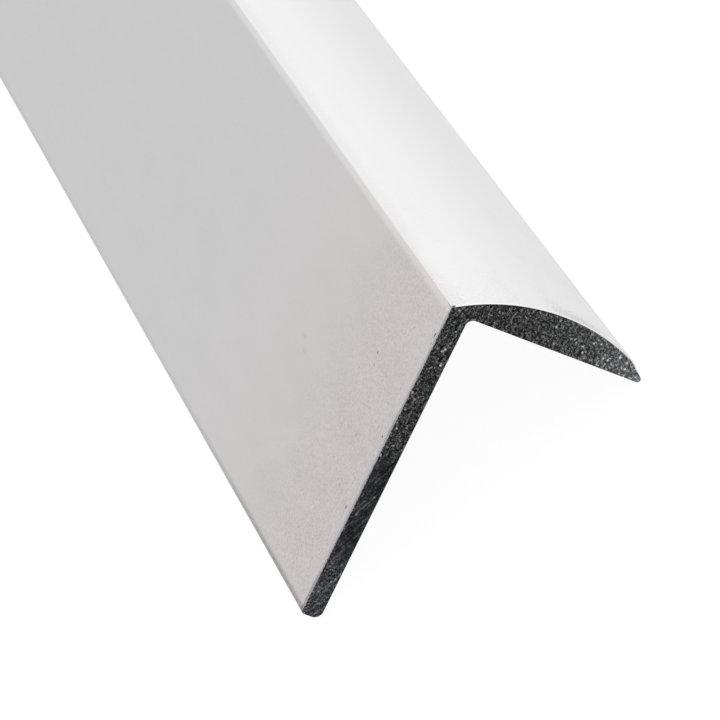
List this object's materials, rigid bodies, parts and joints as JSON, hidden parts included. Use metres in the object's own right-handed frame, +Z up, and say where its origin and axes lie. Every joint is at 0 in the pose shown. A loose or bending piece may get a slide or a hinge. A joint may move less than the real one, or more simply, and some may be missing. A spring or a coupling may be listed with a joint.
{
  "type": "aluminium edge trim",
  "caption": "Extruded aluminium edge trim with a flat leg and a crowned leg that thins to a blunt tip, to cap the corner of a board or step.",
  "frame": {"origin": "centre of the bounding box at floor level, with the trim standing like a tent on the end of its flat leg and its tip", "axes": "+Y along the bar, +Z up, flat leg sloping down towards -X, crowned leg down towards +X"},
  "size_m": [0.038, 1, 0.0174],
  "materials": {
    "satin_aluminium": "satin anodised, with bare sawn ends"
  },
  "bodies": {
    "root": {"edge_trim": "satin_aluminium"}
  },
  "joints": []
}
